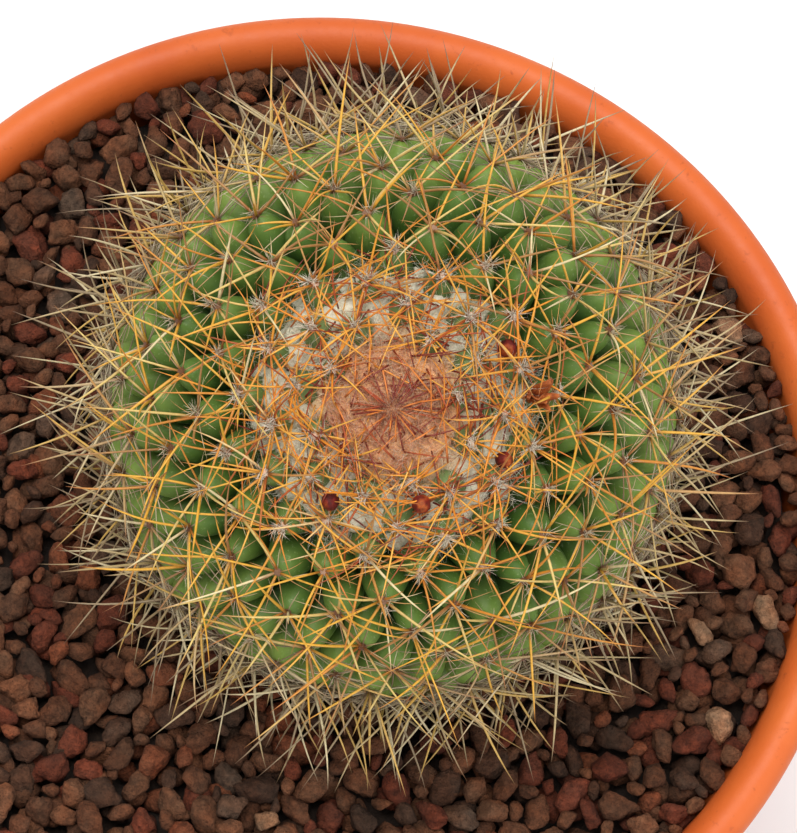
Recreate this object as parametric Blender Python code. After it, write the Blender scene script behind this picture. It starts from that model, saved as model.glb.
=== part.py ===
"""A round, many-spined cactus growing in a terracotta pot topped with lava gravel.

Metres, +Z up, origin at the middle of the pot's base. The plant leans towards -Y, so it is built
in its own frame (apex along its local +Z) and placed by PLANT_FRAME; its root neck stands upright.
"""

import math

import bmesh
import bpy
import numpy as np
from mathutils import Matrix, Vector

# Pot
POT_HEIGHT = 0.104
RIM_RADIUS = 0.065
LIP_WIDTH = 0.0048
BASE_RADIUS = 0.044
WALL = 0.0042
FLOOR_THICKNESS = 0.0055
BAND_HEIGHT = 0.019
BAND_TAPER = 0.0024
DRAIN_RADIUS = 0.007
ROUND_SEGMENTS = 72

# Filling
GRAVEL_DROP = 0.0032
GRAVEL_DEPTH = 0.009
GRAVEL_BUMP = 0.0008
GRAVEL_HOLLOW = 0.0022
HOLLOW_REACH = 0.0075
GRAVEL_COLLAR = 0.0014
CLEARANCE = 0.0003

# Cactus body
BODY_X = 0.0055
BODY_Y = 0.0063
BODY_ABOVE_RIM = 0.020
LEAN_DEGREES = 16.6
CORE_RADIUS = 0.0295
CORE_HALF_HEIGHT = 0.0254
TUBERCLE_HEIGHT = 0.0048
CROWN_TUBERCLE_HEIGHT = 0.0018
SPACING_CROWN = 0.0043
SPACING_SIDE = 0.0058
FLAT_CROWN_CELLS = 7
TUBERCLE_END_DEGREES = 123.0
SPIRAL_END_DEGREES = 131.0
BASE_RING_DEGREES = 142.0
BASE_RING_COUNT = 18
ROOT_RADIUS = 0.0116
ROOT_TIP_RADIUS = 0.0055
ROOT_DEPTH = 0.028
GOLDEN_ANGLE = math.pi * (3.0 - math.sqrt(5.0))

# Spines
CLUSTER_COUNT = 36
HUB_RADIUS = 0.00075
HUB_HEIGHT = 0.0006
CENTRAL_LENGTH = 0.0125
RADIAL_LENGTH = 0.0042
RADIAL_COUNT = 8
CENTRAL_COUNT = 4

# Crown wool, buds and dried flower: (azimuth in degrees, distance from the plant's axis)
WOOL_RADIUS = 0.0046
WOOL_HEIGHT = 0.0034
BUD_RADIUS = 0.00115
BUD_PLACES = ((-105.0, 0.0115), (-68.0, 0.0098), (-16.0, 0.0114), (36.0, 0.0119))
DRIED_FLOWER_PLACE = (18.0, 0.0168)

# Loose stones on the gravel: (azimuth in degrees, distance in from the pot's wall, size)
PALE_STONES = (
    (-19.0, 0.0042, 0.0050),
    (-3.0, 0.0037, 0.0044),
    (36.0, 0.0039, 0.0048),
    (-8.0, 0.0112, 0.0036),
    (-91.0, 0.0192, 0.0038),
)
DARK_STONE_COUNT = 9
DARK_STONE_INSET = 0.0077
DARK_STONE_SIZE = 0.0054
STONE_POINTS = 20
STONE_SINK = 0.0018

GRAVEL_TOP = POT_HEIGHT - GRAVEL_DROP
MIX_TOP = GRAVEL_TOP - GRAVEL_DEPTH - CLEARANCE
BODY_CENTRE = Vector((BODY_X, BODY_Y, POT_HEIGHT + BODY_ABOVE_RIM))
PLANT_FRAME = Matrix.Translation(BODY_CENTRE) @ Matrix.Rotation(math.radians(LEAN_DEGREES), 4, "X")
BODY_BASE = PLANT_FRAME @ Vector((0.0, 0.0, -CORE_HALF_HEIGHT))


def clear_scene():
    for obj in list(bpy.data.objects):
        bpy.data.objects.remove(obj, do_unlink=True)


def make_material(name, colour, roughness):
    material = bpy.data.materials.new(name)
    material.use_nodes = True
    shader = material.node_tree.nodes["Principled BSDF"]
    shader.inputs["Base Color"].default_value = (*colour, 1.0)
    shader.inputs["Roughness"].default_value = roughness
    shader.inputs["Metallic"].default_value = 0.0
    return material


def add_object(name, points, faces, material, sharp_degrees=40.0):
    """One closed mesh object, its faces turned outward and shaded smooth up to the given angle."""
    mesh = bpy.data.meshes.new(name)
    mesh.from_pydata([tuple(p) for p in points], [], faces)
    bm = bmesh.new()
    bm.from_mesh(mesh)
    bmesh.ops.recalc_face_normals(bm, faces=bm.faces)
    bm.to_mesh(mesh)
    bm.free()
    mesh.materials.append(material)
    mesh.shade_smooth()
    mesh.set_sharp_from_angle(angle=math.radians(sharp_degrees))
    obj = bpy.data.objects.new(name, mesh)
    bpy.context.scene.collection.objects.link(obj)
    return obj


def ring(centre_x, centre_y, z, radius, count=ROUND_SEGMENTS):
    """Points of a level circle, starting on +X."""
    turns = [2.0 * math.pi * k / count for k in range(count)]
    return [Vector((centre_x + radius * math.cos(t), centre_y + radius * math.sin(t), z)) for t in turns]


def skin(rings, is_loop=False):
    """Points and faces of a skin laid over equal rings, closed into a loop or capped at both ends."""
    count = len(rings[0])
    points = [p for one_ring in rings for p in one_ring]
    faces = []
    bands = len(rings) if is_loop else len(rings) - 1
    for band in range(bands):
        low = band * count
        high = (band + 1) % len(rings) * count
        for k in range(count):
            after = (k + 1) % count
            faces.append((low + k, low + after, high + after, high + k))
    if not is_loop:
        last = (len(rings) - 1) * count
        faces.append(tuple(range(count)))
        faces.append(tuple(last + k for k in range(count)))
    return points, faces


def arc(centre_r, centre_z, radius, start, end, count):
    """Profile points (distance from the axis, height) along an arc, its angles in degrees."""
    angles = [math.radians(start + (end - start) * k / (count - 1)) for k in range(count)]
    return [(centre_r + radius * math.cos(a), centre_z + radius * math.sin(a)) for a in angles]


def pot_inner_radius(z):
    """Radius of the pot's tapered inner wall at a height."""
    share = (z - FLOOR_THICKNESS) / (POT_HEIGHT - FLOOR_THICKNESS)
    floor_radius = BASE_RADIUS - WALL
    return floor_radius + share * (RIM_RADIUS - LIP_WIDTH - floor_radius)


def build_pot(material):
    """Tapered wall, plain rim band, half-round lip and one drain hole in a flat base."""
    lip = LIP_WIDTH / 2.0
    band_bottom = POT_HEIGHT - BAND_HEIGHT
    wall_top = pot_inner_radius(band_bottom) + WALL
    band_edge = RIM_RADIUS - BAND_TAPER
    edge = 0.0015
    profile = [
        (DRAIN_RADIUS + 0.0008, 0.0),
        *arc(BASE_RADIUS - edge, edge, edge, -90.0, -12.0, 3),
        (wall_top, band_bottom - 0.0012),
        (wall_top + 0.0006, band_bottom - 0.0002),
        *arc(band_edge - 0.0008, band_bottom + 0.0008, 0.0008, -90.0, 0.0, 3),
        *arc(RIM_RADIUS - lip, POT_HEIGHT - lip, lip, 0.0, 180.0, 9),
        (pot_inner_radius(GRAVEL_TOP), GRAVEL_TOP),
        (pot_inner_radius(FLOOR_THICKNESS + 0.003), FLOOR_THICKNESS + 0.003),
        (pot_inner_radius(FLOOR_THICKNESS) - 0.0009, FLOOR_THICKNESS + 0.0009),
        (pot_inner_radius(FLOOR_THICKNESS) - 0.003, FLOOR_THICKNESS),
        (DRAIN_RADIUS, FLOOR_THICKNESS),
        (DRAIN_RADIUS, 0.0008),
    ]
    rings = [ring(0.0, 0.0, z, r) for r, z in profile]
    add_object("pot", *skin(rings, is_loop=True), material, 32.0)


def root_radius(z):
    """Radius of the upright root neck at a height."""
    share = min(max((BODY_BASE.z - z) / ROOT_DEPTH, 0.0), 1.0)
    return ROOT_RADIUS + (ROOT_TIP_RADIUS - ROOT_RADIUS) * share**1.3


def socket_ring(z, extra=0.0):
    """Outline, in the filling, of the socket that the root neck stands in."""
    return ring(BODY_BASE.x, BODY_BASE.y, z, root_radius(z) + 2.0 * CLEARANCE + extra)


def build_potting_mix(material):
    """Soil block that follows the pot's inside, with a socket for the root neck."""
    bottom = FLOOR_THICKNESS + CLEARANCE
    shoulder = bottom + 0.004
    socket_floor = BODY_BASE.z - ROOT_DEPTH - 2.0 * CLEARANCE
    rings = [
        ring(0.0, 0.0, bottom, pot_inner_radius(bottom) - 0.0042),
        ring(0.0, 0.0, shoulder, pot_inner_radius(shoulder) - 1.1 * CLEARANCE),
        ring(0.0, 0.0, MIX_TOP, pot_inner_radius(MIX_TOP) - 1.1 * CLEARANCE),
        socket_ring(MIX_TOP),
        socket_ring((MIX_TOP + socket_floor) / 2.0),
        socket_ring(socket_floor),
    ]
    add_object("potting_mix", *skin(rings), material, 30.0)


def stone_places():
    """(azimuth, distance from the pot's axis, size, is pale) of every loose stone."""
    wall = pot_inner_radius(GRAVEL_TOP)
    places = [(math.radians(a), wall - inset, size, True) for a, inset, size in PALE_STONES]
    for k in range(DARK_STONE_COUNT):
        azimuth = math.radians(62.0 + 253.0 * (k + 0.5) / DARK_STONE_COUNT)
        distance = wall - DARK_STONE_INSET + 0.0025 * math.sin(5.0 * k)
        size = DARK_STONE_SIZE * (0.85 + 0.15 * math.cos(3.0 * k))
        places.append((azimuth, distance, size, False))
    return places


def stone_middle(azimuth, distance):
    return Vector((distance * math.cos(azimuth), distance * math.sin(azimuth), 0.0))


def gravel_height(point, bump, body_points):
    """Height of the gravel at a place: bumpy, hollowed beside the plant and under each loose stone."""
    height = GRAVEL_TOP + bump
    from_plant = math.hypot(point.x - BODY_BASE.x, point.y - BODY_BASE.y)
    height -= GRAVEL_HOLLOW * min(max(2.4 - from_plant / 0.015, 0.0), 1.0)
    for azimuth, distance, size, _ in stone_places():
        middle = stone_middle(azimuth, distance)
        apart = math.hypot(point.x - middle.x, point.y - middle.y)
        if apart < size / 2.0 + 0.0056:
            height = min(height, GRAVEL_TOP - STONE_SINK)
    for place in body_points:
        if math.hypot(point.x - place.x, point.y - place.y) < HOLLOW_REACH:
            height = min(height, place.z - 4.0 * CLEARANCE)
    return height


def build_gravel_bed(body_points, material):
    """Layer of lava gravel between the pot's wall and the root neck, its top bumpy."""
    rng = np.random.default_rng(5)
    low_points = [p for p in body_points if p.z < GRAVEL_TOP + 4.0 * GRAVEL_BUMP]
    bottom = GRAVEL_TOP - GRAVEL_DEPTH
    inner = socket_ring(GRAVEL_TOP, GRAVEL_COLLAR)
    lowest_top = GRAVEL_TOP - STONE_SINK
    outer = ring(0.0, 0.0, GRAVEL_TOP, pot_inner_radius(lowest_top) - 1.1 * CLEARANCE)
    steps = 16
    rings = [
        socket_ring(bottom, GRAVEL_COLLAR),
        ring(0.0, 0.0, bottom, pot_inner_radius(bottom) - 1.1 * CLEARANCE),
    ]
    for step in range(steps, -1, -1):
        top_ring = []
        for start, end in zip(inner, outer):
            place = start.lerp(end, step / steps)
            bump = GRAVEL_BUMP * rng.uniform(-1.0, 1.0)
            top_ring.append(Vector((place.x, place.y, gravel_height(place, bump, low_points))))
        rings.append(top_ring)
    add_object("gravel_bed", *skin(rings, is_loop=True), material, 25.0)


def hull_faces(points):
    """Triangles, as index triples, of the convex hull of the points."""
    bm = bmesh.new()
    for index, point in enumerate(points):
        bm.verts.new(point).index = index
    bm.verts.ensure_lookup_table()
    bmesh.ops.convex_hull(bm, input=bm.verts[:])
    bmesh.ops.triangulate(bm, faces=bm.faces[:])
    bm.verts.index_update()
    triangles = [tuple(v.index for v in face.verts) for face in bm.faces]
    bm.free()
    return triangles


def build_stone(name, azimuth, distance, size, material, seed):
    """An angular pebble: the hull of points scattered over a flattened ellipsoid."""
    rng = np.random.default_rng(seed)
    directions = rng.normal(size=(STONE_POINTS, 3))
    directions /= np.linalg.norm(directions, axis=1)[:, None]
    reach = size / 2.0 * np.array((1.0, rng.uniform(0.75, 0.9), rng.uniform(0.62, 0.78)))
    points = directions * reach * rng.uniform(0.9, 1.0, (STONE_POINTS, 1))
    turn = Matrix.Rotation(rng.uniform(0.0, math.pi), 3, "Z")
    points = [turn @ Vector(p) for p in points]
    lift = GRAVEL_TOP - STONE_SINK + 1.4 * CLEARANCE - min(p.z for p in points)
    middle = stone_middle(azimuth, distance) + Vector((0.0, 0.0, lift))
    faces = hull_faces(points)
    used = sorted({index for face in faces for index in face})
    renumber = {old: new for new, old in enumerate(used)}
    corners = [points[old] + middle for old in used]
    faces = [tuple(renumber[index] for index in face) for face in faces]
    add_object(name, corners, faces, material, 30.0)


def build_stones(dark, pale):
    for number, (azimuth, distance, size, is_pale) in enumerate(stone_places(), start=1):
        name = f"pale_stone_{number:02d}" if is_pale else f"lava_stone_{number:02d}"
        build_stone(name, azimuth, distance, size, pale if is_pale else dark, 40 + number)


def core_point(theta, azimuth):
    """Point of the body's smooth core, between the tubercles, at a polar angle from the apex."""
    across = CORE_RADIUS * math.sin(theta)
    return Vector((across * math.cos(azimuth), across * math.sin(azimuth), CORE_HALF_HEIGHT * math.cos(theta)))


def core_normal(point):
    return Vector(
        (
            point.x / CORE_RADIUS**2,
            point.y / CORE_RADIUS**2,
            point.z / CORE_HALF_HEIGHT**2,
        )
    ).normalized()


def spiral_angles():
    """Polar angle and azimuth of each cell of the golden-angle spiral, close-set at the crown."""
    theta = np.linspace(0.0, math.radians(SPIRAL_END_DEGREES), 4000)
    grown = np.clip(theta / math.radians(60.0), 0.0, 1.0)
    spacing = SPACING_CROWN + (SPACING_SIDE - SPACING_CROWN) * grown**0.8
    slope = np.hypot(CORE_RADIUS * np.cos(theta), CORE_HALF_HEIGHT * np.sin(theta))
    per_angle = 2.0 * math.pi * CORE_RADIUS * np.sin(theta) * slope / (0.866 * spacing**2)
    count = np.concatenate(([0.0], np.cumsum((per_angle[1:] + per_angle[:-1]) / 2.0 * np.diff(theta))))
    return [
        (float(np.interp(index + 0.5, count, theta)), GOLDEN_ANGLE * index)
        for index in range(int(count[-1]))
    ]


def cell_height(index, theta):
    """How far a cell rises over the core: nothing under the crown wool or on the corky base."""
    if index < FLAT_CROWN_CELLS or theta > math.radians(TUBERCLE_END_DEGREES):
        return 0.0
    grown = min(theta / math.radians(38.0), 1.0)
    return CROWN_TUBERCLE_HEIGHT + (TUBERCLE_HEIGHT - CROWN_TUBERCLE_HEIGHT) * grown


def body_cells():
    """The cells' middles, their outlines' points and each outline as ordered point numbers."""
    spiral = spiral_angles()
    base_ring = [
        (math.radians(BASE_RING_DEGREES), 2.0 * math.pi * k / BASE_RING_COUNT)
        for k in range(BASE_RING_COUNT)
    ]
    angles = spiral + base_ring + [(math.pi, 0.0)]
    middles = [core_point(theta, azimuth) for theta, azimuth in angles]
    heights = [cell_height(i, theta) for i, (theta, _) in enumerate(spiral)]
    heights += [0.0] * (len(angles) - len(spiral))
    corners = []
    around = [[] for _ in middles]
    for number, triangle in enumerate(hull_faces(middles)):
        centre = sum((middles[i] for i in triangle), Vector()) / 3.0
        theta = math.atan2(math.hypot(centre.x, centre.y) / CORE_RADIUS, centre.z / CORE_HALF_HEIGHT)
        corners.append(core_point(theta, math.atan2(centre.y, centre.x)))
        for i in triangle:
            around[i].append(number)
    outlines = [ordered_outline(middles[i], corners, around[i]) for i in range(len(middles))]
    return middles, heights, corners, outlines


def ordered_outline(middle, corners, members):
    """The cell's corner numbers in order around its outward normal."""
    normal = core_normal(middle)
    side = normal.orthogonal().normalized()
    up = normal.cross(side)
    return sorted(
        members,
        key=lambda number: math.atan2((corners[number] - middle).dot(up), (corners[number] - middle).dot(side)),
    )


def add_tubercle(points, faces, outline, middle, height):
    """A rounded cone lofted from the cell's outline, in two steps, to a small flat tip."""
    normal = core_normal(middle)
    foot = list(outline)
    for shrink, rise in ((0.80, 0.62), (0.38, 1.0)):
        step = []
        for number in outline:
            points.append(middle + (points[number] - middle) * shrink + normal * height * rise)
            step.append(len(points) - 1)
        for k in range(len(foot)):
            after = (k + 1) % len(foot)
            faces.append((foot[k], foot[after], step[after], step[k]))
        foot = step
    faces.append(tuple(foot))


def add_root(points, faces, outline):
    """The upright root neck, from the lowest cell's outline down to a blunt tip."""
    plant_to_world = PLANT_FRAME
    world_to_plant = PLANT_FRAME.inverted()
    foot = list(outline)
    turns = []
    for number in outline:
        place = plant_to_world @ points[number]
        turns.append(math.atan2(place.y - BODY_BASE.y, place.x - BODY_BASE.x))
    for share in (0.16, 0.55, 1.0):
        z = BODY_BASE.z - ROOT_DEPTH * share
        radius = root_radius(z)
        step = []
        for turn in turns:
            place = Vector((BODY_BASE.x + radius * math.cos(turn), BODY_BASE.y + radius * math.sin(turn), z))
            points.append(world_to_plant @ place)
            step.append(len(points) - 1)
        for k in range(len(foot)):
            after = (k + 1) % len(foot)
            faces.append((foot[k], foot[after], step[after], step[k]))
        foot = step
    faces.append(tuple(foot))


def build_body(material):
    """The whole plant body in one piece: crown floor, spiral tubercles, corky base and root.

    Returns the cells' middles and heights, the grooves' points and the points above the root.
    """
    middles, heights, corners, outlines = body_cells()
    points = list(corners)
    faces = []
    for middle, height, outline in zip(middles[:-1], heights, outlines):
        if height > 0.0:
            add_tubercle(points, faces, outline, middle, height)
        else:
            faces.append(tuple(outline))
    above_root = [PLANT_FRAME @ p for p in points]
    add_root(points, faces, outlines[-1])
    add_object("cactus_body", [PLANT_FRAME @ p for p in points], faces, material, 50.0)
    return middles, heights, corners, above_root


def aligned_frame(origin, normal):
    """A frame at a point of the plant with its local +Z along the outward normal, in world space."""
    turn = Vector((0.0, 0.0, 1.0)).rotation_difference(normal).to_matrix().to_4x4()
    return PLANT_FRAME @ Matrix.Translation(origin) @ turn


def spike(points, faces, facet, tip):
    """Draws one facet of a hub out to a point."""
    points.append(tip)
    end = len(points) - 1
    for k in range(len(facet)):
        faces.append((facet[k], facet[(k + 1) % len(facet)], end))


def spread_choice(points, allowed, count):
    """Indices of points that lie as far from each other as a greedy choice can make them."""
    chosen = [allowed[len(allowed) // 3]]
    apart = {i: (points[i] - points[chosen[0]]).length for i in allowed}
    while len(chosen) < min(count, len(allowed)):
        farthest = max(allowed, key=lambda i: apart[i])
        chosen.append(farthest)
        for i in allowed:
            apart[i] = min(apart[i], (points[i] - points[farthest]).length)
    return sorted(chosen)


def spine_cluster(rng):
    """Points and faces of one cluster: an eight-sided woolly hub, each facet drawn out to a spine."""
    points = []
    faces = []
    side = RADIAL_COUNT
    turns = [2.0 * math.pi * k / side for k in range(side)]
    for z, radius in ((0.0, HUB_RADIUS), (HUB_HEIGHT, HUB_RADIUS)):
        points += [Vector((radius * math.cos(t), radius * math.sin(t), z)) for t in turns]
    points.append(Vector((0.0, 0.0, HUB_HEIGHT * 1.3)))
    crown = len(points) - 1
    faces.append(tuple(range(side - 1, -1, -1)))
    for k in range(side):
        after = (k + 1) % side
        turn = turns[k] + math.pi / side
        rise = math.radians(rng.uniform(20.0, 30.0))
        length = RADIAL_LENGTH * rng.uniform(0.85, 1.1)
        flat = HUB_RADIUS + length * math.cos(rise)
        tip = Vector((flat * math.cos(turn), flat * math.sin(turn), length * math.sin(rise)))
        spike(points, faces, (k, after, side + after, side + k), tip)
    step = side // CENTRAL_COUNT
    for k in range(CENTRAL_COUNT):
        first = k * step
        facet = [side + (first + j) % side for j in range(step + 1)]
        turn = turns[first] + math.pi * step / side
        away = math.radians(rng.uniform(22.0, 42.0))
        length = CENTRAL_LENGTH * rng.uniform(0.88, 1.1)
        reach = length * math.sin(away)
        tip = Vector((reach * math.cos(turn), reach * math.sin(turn), length * math.cos(away)))
        spike(points, faces, (*facet, crown), tip)
    return points, faces


def build_spine_clusters(middles, heights, keep_clear, material):
    """Clusters spread evenly over the tubercles, each seated just above its tubercle's tip."""
    tips = [m + core_normal(m) * h for m, h in zip(middles, heights)]
    ends = [PLANT_FRAME @ (tip + core_normal(m) * CENTRAL_LENGTH) for tip, m in zip(tips, middles)]
    allowed = [
        i
        for i, (tip, end, height) in enumerate(zip(tips, ends, heights))
        if height > 0.0
        and end.z > GRAVEL_TOP + 0.0105
        and all((tip - place).length > 0.0062 for place in keep_clear)
    ]
    for number, i in enumerate(spread_choice(tips, allowed, CLUSTER_COUNT), start=1):
        rng = np.random.default_rng(100 + number)
        points, faces = spine_cluster(rng)
        seat = tips[i] + core_normal(middles[i]) * 1.1 * CLEARANCE
        turned = aligned_frame(seat, core_normal(middles[i])) @ Matrix.Rotation(rng.uniform(0.0, 1.5), 4, "Z")
        add_object(f"spine_cluster_{number:02d}", [turned @ p for p in points], faces, material, 35.0)


def turned_piece(name, frame, profile, count, material, lobes=0.0):
    """A small solid of rings (height, radius) around the frame's +Z, its edge lobed if asked."""
    rings = []
    for height, radius in profile:
        one_ring = []
        for k in range(count):
            turn = 2.0 * math.pi * k / count
            swell = radius * (1.0 + lobes * (height > 0.003) * math.cos(count * turn / 2.0))
            one_ring.append(frame @ Vector((swell * math.cos(turn), swell * math.sin(turn), height)))
        rings.append(one_ring)
    add_object(name, *skin(rings), material, 60.0)


def nearest_groove(corners, azimuth, distance):
    """The point between three tubercles nearest to a place seen along the plant's axis."""
    aim = Vector((distance * math.cos(azimuth), distance * math.sin(azimuth)))
    upper = [c for c in corners if c.z > 0.0]
    return min(upper, key=lambda c: (c.xy * 1.1 - aim).length)


def build_buds_and_flower(corners, bud_material, flower_material):
    """Buds on thin stalks out of the grooves, and one dried flower. Returns where they stand."""
    bud = (
        (0.0019, 0.00014),
        (0.0030, 0.00022),
        (0.0041, BUD_RADIUS * 0.62),
        (0.0051, BUD_RADIUS),
        (0.0060, BUD_RADIUS * 0.8),
        (0.0065, BUD_RADIUS * 0.3),
    )
    flower = (
        (0.0019, 0.00014),
        (0.0032, 0.00024),
        (0.0048, 0.0009),
        (0.0062, 0.0011),
        (0.0076, 0.0019),
        (0.0072, 0.0008),
    )
    places = []
    for number, (degrees, distance) in enumerate(BUD_PLACES, start=1):
        spot = nearest_groove(corners, math.radians(degrees), distance)
        places.append(spot)
        turned_piece(f"flower_bud_{number}", aligned_frame(spot, core_normal(spot)), bud, 8, bud_material)
    spot = nearest_groove(corners, math.radians(DRIED_FLOWER_PLACE[0]), DRIED_FLOWER_PLACE[1])
    places.append(spot)
    turned_piece("dried_flower", aligned_frame(spot, core_normal(spot)), flower, 10, flower_material, 0.25)
    return [p + core_normal(p) * TUBERCLE_HEIGHT for p in places]


def build_crown_wool(material):
    """The felted cushion that fills the crown's hollow."""
    floor = CORE_HALF_HEIGHT + 1.2 * CLEARANCE
    count = 18
    rings = []
    for share, level in ((0.8, 0.0), (1.0, 0.35), (0.86, 0.72), (0.55, 0.93), (0.2, 1.0)):
        one_ring = []
        for k in range(count):
            turn = 2.0 * math.pi * k / count
            radius = WOOL_RADIUS * share * (1.0 + 0.05 * math.cos(3.0 * turn))
            z = floor + WOOL_HEIGHT * level
            one_ring.append(PLANT_FRAME @ Vector((radius * math.cos(turn), radius * math.sin(turn), z)))
        rings.append(one_ring)
    add_object("crown_wool", *skin(rings), material, 60.0)


def main():
    clear_scene()
    terracotta = make_material("terracotta", (0.62, 0.20, 0.07), 0.55)
    soil = make_material("potting_mix", (0.06, 0.04, 0.03), 0.95)
    lava = make_material("lava_gravel", (0.16, 0.06, 0.04), 0.9)
    pale = make_material("pale_stone", (0.45, 0.36, 0.27), 0.85)
    green = make_material("cactus_skin", (0.13, 0.27, 0.06), 0.5)
    wool = make_material("wool", (0.72, 0.58, 0.46), 0.95)
    spine = make_material("spines", (0.62, 0.42, 0.15), 0.5)
    bud = make_material("buds", (0.30, 0.03, 0.02), 0.45)
    dried = make_material("dried_flower", (0.42, 0.16, 0.04), 0.8)
    build_pot(terracotta)
    build_potting_mix(soil)
    build_stones(lava, pale)
    middles, heights, corners, above_root = build_body(green)
    build_gravel_bed(above_root, lava)
    build_crown_wool(wool)
    keep_clear = build_buds_and_flower(corners, bud, dried)
    build_spine_clusters(middles, heights, keep_clear, spine)


main()
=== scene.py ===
"""Potted round cactus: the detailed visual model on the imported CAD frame, with floor, lights and camera."""

import math

import bmesh
import bpy
import numpy as np
from mathutils import Matrix, Vector, noise
from mathutils.kdtree import KDTree


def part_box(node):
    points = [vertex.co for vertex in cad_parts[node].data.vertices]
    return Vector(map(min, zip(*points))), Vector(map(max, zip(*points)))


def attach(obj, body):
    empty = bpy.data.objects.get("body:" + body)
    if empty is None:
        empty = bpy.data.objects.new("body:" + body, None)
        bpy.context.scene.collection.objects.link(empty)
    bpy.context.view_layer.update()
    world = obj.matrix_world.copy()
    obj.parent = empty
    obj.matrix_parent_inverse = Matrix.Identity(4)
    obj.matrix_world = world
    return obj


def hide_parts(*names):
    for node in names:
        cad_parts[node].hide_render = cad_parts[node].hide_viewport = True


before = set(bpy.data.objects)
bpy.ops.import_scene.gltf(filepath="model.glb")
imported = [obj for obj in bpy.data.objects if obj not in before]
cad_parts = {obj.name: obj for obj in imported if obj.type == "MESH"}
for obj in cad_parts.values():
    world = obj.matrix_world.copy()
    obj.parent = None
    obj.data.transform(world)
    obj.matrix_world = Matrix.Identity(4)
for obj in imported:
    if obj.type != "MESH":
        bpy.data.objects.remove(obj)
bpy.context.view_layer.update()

# Sizes shared with the CAD model, in metres
POT_LOW, POT_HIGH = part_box("pot")
POT_HEIGHT = POT_HIGH.z
RIM_RADIUS = (POT_HIGH.x - POT_LOW.x) / 2.0
LIP_WIDTH = 0.0048
BASE_RADIUS = 0.044
WALL = 0.0042
FLOOR_THICKNESS = 0.0055
BAND_HEIGHT = 0.019
BAND_TAPER = 0.0024
DRAIN_RADIUS = 0.007
GRAVEL_DROP = 0.0032
GRAVEL_TOP = POT_HEIGHT - GRAVEL_DROP
GRAVEL_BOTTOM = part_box("gravel_bed")[0].z
BODY_X = 0.0055
BODY_Y = 0.0063
BODY_ABOVE_RIM = 0.020
LEAN_DEGREES = 16.6
CORE_RADIUS = 0.0295
CORE_HALF_HEIGHT = 0.0254
TUBERCLE_HEIGHT = 0.0048
CROWN_TUBERCLE_HEIGHT = 0.0018
SPACING_CROWN = 0.0043
SPACING_SIDE = 0.0058
FLAT_CROWN_CELLS = 7
TUBERCLE_END_DEGREES = 123.0
SPIRAL_END_DEGREES = 131.0
BASE_RING_DEGREES = 142.0
BASE_RING_COUNT = 18
ROOT_RADIUS = 0.0116
GOLDEN_ANGLE = math.pi * (3.0 - math.sqrt(5.0))

# Sizes that only the fine model has
LIP_REACH_DOWN = 0.0046
DRIED_TUBERCLE_HEIGHT = 0.0020
GROOVE_DEPTH = 0.0026
CROWN_GROOVE_DEPTH = 0.0012
CORK_SWELL = 0.0006
EDGE_STEPS = 3
SPINE_REST_HEIGHT = 0.0009
APEX_SPOKES = 46
THATCH_SPINES = 430
FELT_RADIUS = 0.0074
FELT_HEIGHT = 0.0020
PEBBLE_HOLE = 0.0122
GRIT_HOLE = 0.0128

BODY_CENTRE = Vector((BODY_X, BODY_Y, POT_HEIGHT + BODY_ABOVE_RIM))
PLANT_FRAME = Matrix.Translation(BODY_CENTRE) @ Matrix.Rotation(math.radians(LEAN_DEGREES), 4, "X")
PLANT_TURN = np.array(PLANT_FRAME.to_3x3())
PLANT_ORIGIN = np.array(BODY_CENTRE)
BODY_BASE = PLANT_FRAME @ Vector((0.0, 0.0, -CORE_HALF_HEIGHT))


# ---------------------------------------------------------------- numbers and colours


def srgb(red, green, blue):
    """Linear colour of an 8-bit sRGB colour."""
    return tuple(((c / 255.0 + 0.055) / 1.055) ** 2.4 if c > 10 else c / 3294.6 for c in (red, green, blue))


def unit(vectors):
    return vectors / np.maximum(np.linalg.norm(vectors, axis=-1, keepdims=True), 1e-12)


def to_world(points):
    return np.asarray(points) @ PLANT_TURN.T + PLANT_ORIGIN


def smoothstep(low, high, value):
    share = np.clip((value - low) / (high - low), 0.0, 1.0)
    return share * share * (3.0 - 2.0 * share)


def past_angle(low_degrees, high_degrees, theta):
    """0 to 1 as a polar angle in radians passes a range given in degrees."""
    return smoothstep(math.radians(low_degrees), math.radians(high_degrees), theta)


def mix(a, b, share):
    share = np.asarray(share)[..., None]
    return np.asarray(a) * (1.0 - share) + np.asarray(b) * share


def pick(chance, *options):
    """One colour for each point, by its chance; options are (share of all, colour)."""
    colour = np.tile(np.array(options[-1][1]), (len(chance), 1))
    top = 0.0
    for share, one in options[:-1]:
        colour[(chance >= top) & (chance < top + share)] = one
        top += share
    return colour


# ---------------------------------------------------------------- meshes


def add_mesh(name, points, faces, material, tint=None, sharp=None):
    """A smooth mesh object, with a colour for each point if given."""
    mesh = bpy.data.meshes.new(name)
    mesh.from_pydata(np.asarray(points).tolist(), [], faces if isinstance(faces, list) else faces.tolist())
    mesh.shade_smooth()
    if sharp is not None:
        mesh.set_sharp_from_angle(angle=math.radians(sharp))
    if tint is not None:
        colours = mesh.color_attributes.new("tint", "FLOAT_COLOR", "POINT")
        values = np.ones((len(points), 4), np.float32)
        values[:, :3] = np.clip(tint, 0.0, 1.0)
        colours.data.foreach_set("color", values.ravel())
    mesh.materials.append(material)
    obj = bpy.data.objects.new(name, mesh)
    bpy.context.scene.collection.objects.link(obj)
    return obj


def own(obj, slot, *nodes):
    """Rides on the root and stands for the given CAD nodes, which it hides; the slot argument is not used."""
    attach(obj, "root")
    if nodes:
        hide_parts(*nodes)


def nodes_named(prefix):
    return sorted(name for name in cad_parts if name.startswith(prefix))


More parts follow.
